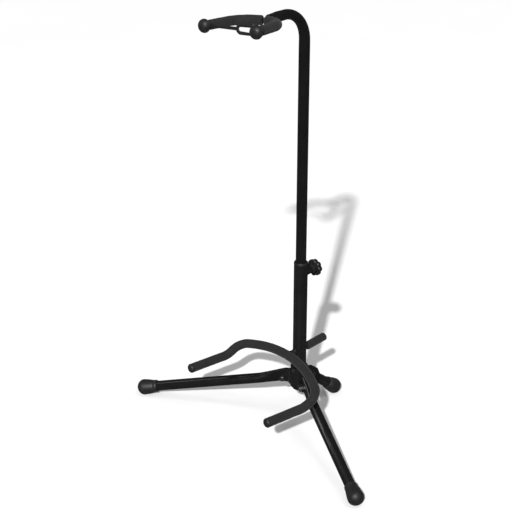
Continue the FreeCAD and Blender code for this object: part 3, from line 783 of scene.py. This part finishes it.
class STAND_OT_mast(bpy.types.Operator):
    """Build the upper tube with its flattened bend, and finish the mast's other pieces"""

    bl_idname = "stand.mast"
    bl_label = "Mast"

    def execute(self, context):
        self.gooseneck()
        softened("lower_tube", "outer_tube", paint())
        socket = softened("yoke_plug", "yoke_socket", paint())
        for vertex in socket.data.vertices:
            vertex.co.z = YOKE_MIDDLE.z + (vertex.co.z - YOKE_MIDDLE.z) * (1 - END_PRESSED)
        softened("knob_boss", "clamp_boss", paint())
        coat(["yoke_rod"], paint())
        self.collar()
        coat(["mast_plug", "glide_plug"], plastic())
        return {"FINISHED"}

    def gooseneck(self):
        """The upper tube, whose rings stand closer together towards the yoke."""
        guide = gooseneck_guide()
        wall, lip = 1.2 * MM, 0.3 * MM
        stations = [(wall * 4, circle(NECK_RADIUS - wall)), (0.0, circle(NECK_RADIUS - wall)),
                    (0.0, circle(NECK_RADIUS - lip)), (lip, circle(NECK_RADIUS))]
        count, crowding = 150, 1.6
        for k in range(1, count + 1):
            distance = guide.length * (1 - (1 - k / count) ** crowding)
            stations.append((distance, self.outline(distance, guide)))
        rings = rings_along(guide, stations)
        piece("gooseneck_tube", [skin(rings, capped=False)], paint(), "neck", ["upper_tube"])

    @staticmethod
    def outline(distance, guide):
        """The tube's section: round, and flatter across the bend and on to the yoke."""
        bend_start = YOKE_MIDDLE.z - GOOSENECK_BEND - guide.line[0].z
        flat_start = bend_start - 12 * MM
        flat_growth = 45 * MM
        end_stretch = 30 * MM
        bent = eased(distance, flat_start, flat_start + flat_growth)
        to_end = guide.length - distance
        bent *= min(max(to_end / end_stretch, 0.0), 1.0)
        pressed = END_PRESSED * (1 - eased(to_end, 0.0, end_stretch))
        flat = 1 - max(bpy.context.scene.stand_sizes.gooseneck_flattening * bent, pressed)
        return [(a, b * flat) for a, b in circle(NECK_RADIUS)]

    @staticmethod
    def collar():
        """The plastic collar in the lower tube: a flange with a rounded edge, and a skirt inside."""
        low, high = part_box("top_bushing")
        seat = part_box("lower_tube")[1].z + 0.02 * MM
        bore, inside = NECK_RADIUS + 0.05 * MM, MAST_RADIUS - 1.25 * MM
        rim, top = MAST_RADIUS + 0.15 * MM, high.z + 1.2 * MM
        rounding = 1.6 * MM
        shoulder = top - rounding - 0.3 * MM
        profile = [(low.z, bore), (low.z, inside), (seat, inside), (seat, rim - 0.3 * MM),
                   (seat + 0.28 * MM, rim), (shoulder, rim)]
        for k in range(1, 7):
            angle = QUARTER * k / 6
            profile.append((shoulder + rounding * math.sin(angle), rim - rounding * (1 - math.cos(angle))))
        profile += [(top, bore + 0.6 * MM), (top - 0.1 * MM, bore + 0.15 * MM), (top - 0.6 * MM, bore)]
        rings = turned(Vector(), Z_AXIS, profile, X_AXIS)
        piece("top_collar", [skin(rings, looped=True)], plastic(), "base", ["top_bushing"])


class STAND_OT_sleeves(bpy.types.Operator):
    """Build the foam sleeves of the cradle, the yoke and the rear peg"""

    bl_idname = "stand.sleeves"
    bl_label = "Foam sleeves"

    def execute(self, context):
        sizes = context.scene.stand_sizes
        rod = cradle_guide()
        covered, count = rod.length - 2 * SLEEVE_INSET, 400
        line = [rod.at(SLEEVE_INSET + covered * k / count)[0] for k in range(count + 1)]
        self.sleeve("cradle_sleeve", Guide(line, Z_AXIS), sizes.cradle_sleeve_radius, ROD_RADIUS, "base",
                    "cradle_foam")
        low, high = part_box("peg_foam")
        line = [Vector((0, low.y, PEG_HEIGHT)), Vector((0, high.y, PEG_HEIGHT))]
        self.sleeve("peg_sleeve", Guide(line, X_AXIS), sizes.peg_sleeve_radius,
                    node_radius("rear_peg", 0), "base", "peg_foam")
        bare_middle, bare_tip = 4.3 * MM, 11.5 * MM
        for name, side in SIDES:
            middle, shoulder, tip = yoke_corners(side)
            start = middle + (shoulder - middle).normalized() * bare_middle
            end = tip + (shoulder - tip).normalized() * bare_tip
            line = bent_line([start, shoulder, end], [YOKE_BEND])
            self.sleeve("yoke_sleeve_" + name, Guide(line, Z_AXIS), sizes.yoke_sleeve_radius, ROD_RADIUS,
                        "neck", "yoke_foam_" + name)
        return {"FINISHED"}

    @staticmethod
    def sleeve(name, guide, radius, bore, body, node):
        """One foam sleeve with rounded cut ends and a slightly uneven skin."""
        sizes = bpy.context.scene.stand_sizes
        stations = rounded_stations(guide.length, radius - sizes.foam_unevenness, sizes.sleeve_edge, bore)
        rings = rings_along(guide, [(distance, circle(size)) for distance, size in stations])
        end_rings = 4           # the bore and the start of the rounding stay even
        uneven_rings = rings[end_rings:-end_rings]
        uneven(uneven_rings, sizes.foam_unevenness * 1.6, 7 * MM)
        thing = piece(name, [skin(rings, capped=False)], foam(), body, [node])


class STAND_OT_rubber(bpy.types.Operator):
    """Build the rubber feet, the yoke's balls and the caps on the foam"""

    bl_idname = "stand.rubber"
    bl_label = "Rubber feet, balls and caps"

    def execute(self, context):
        for name in LEGS:
            self.foot(name)
        for name, side in SIDES:
            self.ball(name, side)
            self.cradle_cap(name, side)
        low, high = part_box("peg_cap")
        peg_bore = 4.5 * MM
        self.cap("peg_end_cap", Vector((0, low.y, PEG_HEIGHT)), Y_AXIS, node_radius("peg_cap", 0),
                 high.y - low.y, peg_bore, "peg_cap")
        coat(["clamp_pad"], rubber())
        return {"FINISHED"}

    @staticmethod
    def foot(name):
        """A foot: a grooved sleeve, a flare and a rounded nose, flat where it stands."""
        sleeve = 11.6 * MM
        flare = bpy.context.scene.stand_sizes.foot_radius - 0.3 * MM
        mouth, groove, widest, nose = -25.6 * MM, -19.6 * MM, 1.5 * MM, 15 * MM
        profile = [(-12 * MM, NECK_RADIUS), (mouth, NECK_RADIUS + 0.2 * MM), (mouth, sleeve - 1.1 * MM),
                   (mouth + 0.3 * MM, sleeve - 0.6 * MM), (mouth + 0.9 * MM, sleeve - 0.2 * MM),
                   (mouth + 2.5 * MM, sleeve), (groove - 0.9 * MM, sleeve + 0.1 * MM),
                   (groove - 0.5 * MM, sleeve - 0.1 * MM), (groove - 0.2 * MM, sleeve - 0.75 * MM),
                   (groove + 0.3 * MM, sleeve - 0.75 * MM), (groove + 0.7 * MM, sleeve - 0.1 * MM),
                   (groove + 1.2 * MM, sleeve + 0.2 * MM)]
        start, narrow = profile[-1]
        bend = QUARTER * 0.8
        for k in range(1, 10):
            share = k / 9
            grown = math.sin(share * bend) / math.sin(bend)
            profile.append((start + (widest - start) * share, narrow + (flare - narrow) * grown))
        for k in range(1, 13):
            share = 1 - (1 - k / 12.5) ** 1.3
            profile.append((widest + (nose - widest) * share, flare * (1 - share ** 2.1) ** 0.6))
        rings = turned(*foot_place(name), profile)
        for ring in rings:
            for point in ring:
                point.z = max(point.z, 0.0)
        piece("rubber_foot_" + name, [skin(rings)], rubber(), "leg_" + name,
              ["foot_" + name])

    @staticmethod
    def ball(name, side):
        """The ball on one arm's tip, with a flat back, a soft rim and a small moulding seam."""
        radius = bpy.context.scene.stand_sizes.ball_radius
        back, seam, front = -5.0 * MM, -0.6 * MM, 8.2 * MM
        profile = [(back + 2.5 * MM, ROD_RADIUS), (back, ROD_RADIUS), (back, radius - 3.4 * MM),
                   (back + 0.25 * MM, radius - 2.3 * MM), (back + 0.9 * MM, radius - 1.3 * MM),
                   (back + 2.0 * MM, radius - 0.5 * MM), (back + 3.4 * MM, radius - 0.08 * MM),
                   (seam - 0.3 * MM, radius), (seam - 0.15 * MM, radius + 0.12 * MM),
                   (seam + 0.15 * MM, radius + 0.12 * MM), (seam + 0.3 * MM, radius)]
        for k in range(1, 14):
            angle = QUARTER * k / 14
            profile.append((front * math.sin(angle), radius * math.cos(angle) ** 0.92))
        _, shoulder, tip = yoke_corners(side)
        rings = turned(tip, (tip - shoulder).normalized(), profile)
        piece("yoke_end_" + name, [skin(rings)], rubber(), "neck", ["yoke_ball_" + name])

    def cradle_cap(self, name, side):
        """The cap on one cradle tip."""
        rod = cradle_guide()
        place, ahead, _, _ = rod.at(SLEEVE_INSET if side < 0 else rod.length - SLEEVE_INSET)
        radius = bpy.context.scene.stand_sizes.cradle_sleeve_radius
        self.cap("cradle_end_" + name, place, ahead * side, radius, 7 * MM, ROD_RADIUS, "cradle_cap_" + name)

    @staticmethod
    def cap(name, place, outward, radius, length, bore, node):
        """A domed cap with a soft rim where it meets the foam."""
        gap = 0.05 * MM
        profile = [(1.5 * MM, bore), (gap, bore), (gap, radius - 0.7 * MM), (0.5 * MM, radius - 0.1 * MM)]
        crown = length * 0.62
        for k in range(9):
            angle = QUARTER * k / 9
            profile.append((length - crown + crown * math.sin(angle),
                            radius - crown + crown * math.cos(angle)))
        profile.append((length, (radius - crown) * 0.5))
        rings = turned(place, outward, profile)
        piece(name, [skin(rings)], rubber(), "base", [node])


class STAND_OT_strap(bpy.types.Operator):
    """Build the rubber strap across the yoke: eye, tapering band and slotted loop"""

    bl_idname = "stand.strap"
    bl_label = "Neck strap"

    def execute(self, context):
        right = yoke_axes()[1]
        _, left_shoulder, left_tip = yoke_corners(-1)
        _, right_shoulder, right_tip = yoke_corners(1)
        arm = (left_tip - left_shoulder).normalized()
        eye = left_tip - arm * STRAP_SET_BACK
        hook = right_tip + (right_shoulder - right_tip).normalized() * STRAP_SET_BACK
        slot_half, loop_length = 4.4 * MM, 44 * MM
        span = (hook - eye).length
        slot_start = span - loop_length + 2 * slot_half
        band_line = [eye + right * 5.5 * MM, eye + right * (slot_start - slot_half)]
        skins = [skin(self.eye(eye, arm), looped=True), skin(self.band(band_line)),
                 skin(self.loop(eye, slot_start, span, slot_half), looped=True)]
        piece("rubber_strap", skins, rubber(), "strap", ["neck_strap"])
        return {"FINISHED"}

    @staticmethod
    def eye(centre, arm):
        """The eye round the left arm."""
        rim, bore = 7.5 * MM, ROD_RADIUS + 0.3 * MM
        half = 2.4 * MM
        near = [(0.6 * MM - half, bore), (-half, bore + 0.5 * MM), (-half, rim - 1.1 * MM),
                (0.3 * MM - half, rim - 0.3 * MM), (1.0 * MM - half, rim)]
        return turned(centre, arm, near + [(-at, size) for at, size in reversed(near)])

    @staticmethod
    def band(line):
        """The band between eye and loop: tall at the eye, soon narrow, and a little taller at the loop."""
        guide = Guide(line, yoke_axes()[0])
        tall, narrow, thick = 6.4 * MM, 2.7 * MM, 1.2 * MM
        stations = []
        count = 40
        for k in range(count + 1):
            share = k / count
            at_loop = max(0.0, 1 - (1 - share) / 0.10)
            height = tall + (narrow - tall) * eased(share, 0.0, 0.24) + 1.4 * MM * at_loop ** 2
            stations.append((guide.length * share, soft_box(thick, height, 4.0)))
        return rings_along(guide, stations)

    @staticmethod
    def loop(eye, slot_start, slot_end, slot_half):
        """The slotted loop, whose bars are thicker at the band than at the hook."""
        forward, right, up = yoke_axes()
        loop_half = 8.5 * MM
        middle = (slot_half + loop_half) / 2
        line = []
        turns = 20
        for centre_at, start in ((slot_end, -90), (slot_start, 90)):
            for k in range(turns + 1):
                angle = math.radians(start + 180 * k / turns)
                along, rise = centre_at + middle * math.cos(angle), middle * math.sin(angle)
                line.append(eye + right * along + up * rise)
        rings = []
        for k, point in enumerate(line):
            ahead = (line[(k + 1) % len(line)] - line[k - 1]).normalized()
            away = ahead.cross(forward).normalized()
            reach = (point - eye).dot(right)
            inward = (eye + right * reach - point).normalized()
            thicker = 0.7 * MM * min(max((slot_end - reach) / (slot_end - slot_start), 0.0), 1.0)
            half_bar = (loop_half - slot_half) / 2 + thicker
            centre = point + inward * thicker * 0.6
            rings.append([centre + forward * a + away * b for a, b in soft_box(1.5 * MM, half_bar, 3.0)])
        return rings


class STAND_OT_knob(bpy.types.Operator):
    """Build the lobed clamp knob"""

    bl_idname = "stand.knob"
    bl_label = "Clamp knob"

    def execute(self, context):
        sizes = context.scene.stand_sizes
        low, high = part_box("knob")
        back, face = low.y, high.y
        plate, pit = face - 9.5 * MM, face - 1.1 * MM
        hub, bore = 8.5 * MM, 3.1 * MM
        radius = sizes.knob_radius
        # place along the axis, radius, and share of the notches' depth
        rows = [(back + 3 * MM, bore, 0), (back, bore, 0), (back, hub - 0.8 * MM, 0),
                (back + 0.5 * MM, hub, 0), (plate - 0.4 * MM, hub, 0), (plate, hub + 1.2 * MM, 0.2),
                (plate + 0.1 * MM, radius - 2.6 * MM, 0.9), (plate + 0.7 * MM, radius - 0.9 * MM, 1),
                (plate + 1.7 * MM, radius - 0.15 * MM, 1), (plate + 3.5 * MM, radius, 1),
                (face - 3.2 * MM, radius, 1), (face - 1.5 * MM, radius - 0.35 * MM, 1),
                (face - 0.5 * MM, radius - 1.2 * MM, 1), (face, radius - 2.6 * MM, 0.95),
                (face, radius - 4.6 * MM, 0.5), (face - 0.7 * MM, radius - 5.6 * MM, 0.2),
                (pit, 6.6 * MM, 0), (pit, 5.6 * MM, 0), (face - 0.2 * MM, 5.0 * MM, 0),
                (face - 0.1 * MM, 3.0 * MM, 0), (face - 0.1 * MM, 1.0 * MM, 0)]
        notch_depth, notch_sharpness = 1.9 * MM, 1.8
        count = sizes.knob_lobes * 16
        rings = []
        for y, size, depth in rows:
            ring = []
            for k in range(count):
                angle = 2 * math.pi * k / count
                notch = (0.5 - 0.5 * math.cos(angle * sizes.knob_lobes)) ** notch_sharpness
                away = size - notch_depth * notch * depth
                ring.append(Vector((away * math.sin(angle), y, CLAMP_HEIGHT + away * math.cos(angle))))
            rings.append(ring)
        piece("star_knob", [skin(rings)], plastic(), "knob", ["knob"], sharp=50)
        coat(["knob_screw"], steel())
        return {"FINISHED"}


class STAND_OT_hub(bpy.types.Operator):
    """Finish the hub, the legs and the fasteners with softened edges, and paint the rods"""

    bl_idname = "stand.hub"
    bl_label = "Hub, legs and fasteners"

    def execute(self, context):
        softened("hub", "leg_hub", paint())
        softened("hub_screws", "hub_screw_heads", steel())
        for name in LEGS:
            softened("leg_" + name, "leg_tube_" + name, paint())
            for kind in ("bolt", "washer", "nut"):
                softened("pivot_" + kind + "_" + name, kind + "_of_leg_" + name, steel())
        coat(["cradle_rod", "cradle_stay", "rear_peg"], paint())
        return {"FINISHED"}


class STAND_OT_welds(bpy.types.Operator):
    """Build the weld beads where the boss, the peg and the stay meet the mast, and at the yoke"""

    bl_idname = "stand.welds"
    bl_label = "Weld beads"

    def execute(self, context):
        cradle_way = Matrix.Rotation(CRADLE_TURN, 3, "Z") @ -Y_AXIS
        self.saddle("boss_weld", CLAMP_HEIGHT, Y_AXIS, node_radius("knob_boss", 0))
        self.saddle("peg_weld", PEG_HEIGHT, Y_AXIS, node_radius("rear_peg", 0))
        self.saddle("stay_weld", PEG_HEIGHT, cradle_way, node_radius("rear_peg", 0))
        ahead = Vector((0, -math.cos(GOOSENECK_RISE), math.sin(GOOSENECK_RISE)))
        centre = YOKE_MIDDLE - ahead * (ROD_RADIUS + 0.4 * MM)
        self.bead("yoke_weld", [centre + X_AXIS * a + Z_AXIS * b for a, b in circle(4.0 * MM)], "neck")
        return {"FINISHED"}

    def saddle(self, name, height, outward, radius):
        """A bead round a bar that leaves the mast."""
        across = Z_AXIS.cross(outward)
        line = []
        for sideways, rise in circle(radius):
            out = math.sqrt(MAST_RADIUS ** 2 - sideways ** 2)
            line.append(across * sideways + outward * out + Z_AXIS * (height + rise))
        self.bead(name, line, "base")

    @staticmethod
    def bead(name, line, body):
        """A closed bead along a loop, with the ripples of its puddles."""
        size = bpy.context.scene.stand_sizes.weld_radius
        puddle, wave, unevenness = 8, 0.10, 0.22
        middle = sum(line, Vector()) / len(line)
        fine = []
        for k, point in enumerate(line):
            after = line[(k + 1) % len(line)]
            fine.extend([point, point.lerp(after, 0.5)])
        rings = []
        for k, point in enumerate(fine):
            ahead = (fine[(k + 1) % len(fine)] - fine[k - 1]).normalized()
            away = point - middle
            away = (away - ahead * away.dot(ahead)).normalized()
            up = ahead.cross(away)
            ripple = 1 + wave * math.sin(2 * math.pi * k / puddle)
            ripple += unevenness * noise.noise(point / (4 * MM))
            rings.append([point + (away * a + up * b) * ripple for a, b in circle(size, 12)])
        piece(name, [skin(rings, looped=True)], painted_weld(), body)


class STAND_PT_panel(bpy.types.Panel):
    """Sizes, colours and the steps that build the stand"""

    bl_label = "Guitar stand"
    bl_idname = "STAND_PT_panel"
    bl_space_type = "VIEW_3D"
    bl_region_type = "UI"
    bl_category = "Stand"

    def draw(self, context):
        for settings in (context.scene.stand_sizes, context.scene.stand_colours):
            box = self.layout.box()
            for key in settings.__annotations__:
                box.prop(settings, key)
        for operator in OPERATORS:
            self.layout.operator(operator.bl_idname)


OPERATORS = (STAND_OT_stage, STAND_OT_mast, STAND_OT_sleeves, STAND_OT_rubber, STAND_OT_strap, STAND_OT_knob,
             STAND_OT_hub, STAND_OT_welds)
CLASSES = (StandSizes, StandColours) + OPERATORS + (STAND_PT_panel,)


def register():
    for item in CLASSES:
        bpy.utils.register_class(item)
    bpy.types.Scene.stand_sizes = PointerProperty(type=StandSizes)
    bpy.types.Scene.stand_colours = PointerProperty(type=StandColours)


def unregister():
    del bpy.types.Scene.stand_colours
    del bpy.types.Scene.stand_sizes
    for item in reversed(CLASSES):
        bpy.utils.unregister_class(item)


def main():
    """Builds everything in order."""
    register()
    bpy.ops.stand.stage()
    bpy.ops.stand.mast()
    bpy.ops.stand.sleeves()
    bpy.ops.stand.rubber()
    bpy.ops.stand.strap()
    bpy.ops.stand.knob()
    bpy.ops.stand.hub()
    bpy.ops.stand.welds()


if __name__ == "__main__":
    main()
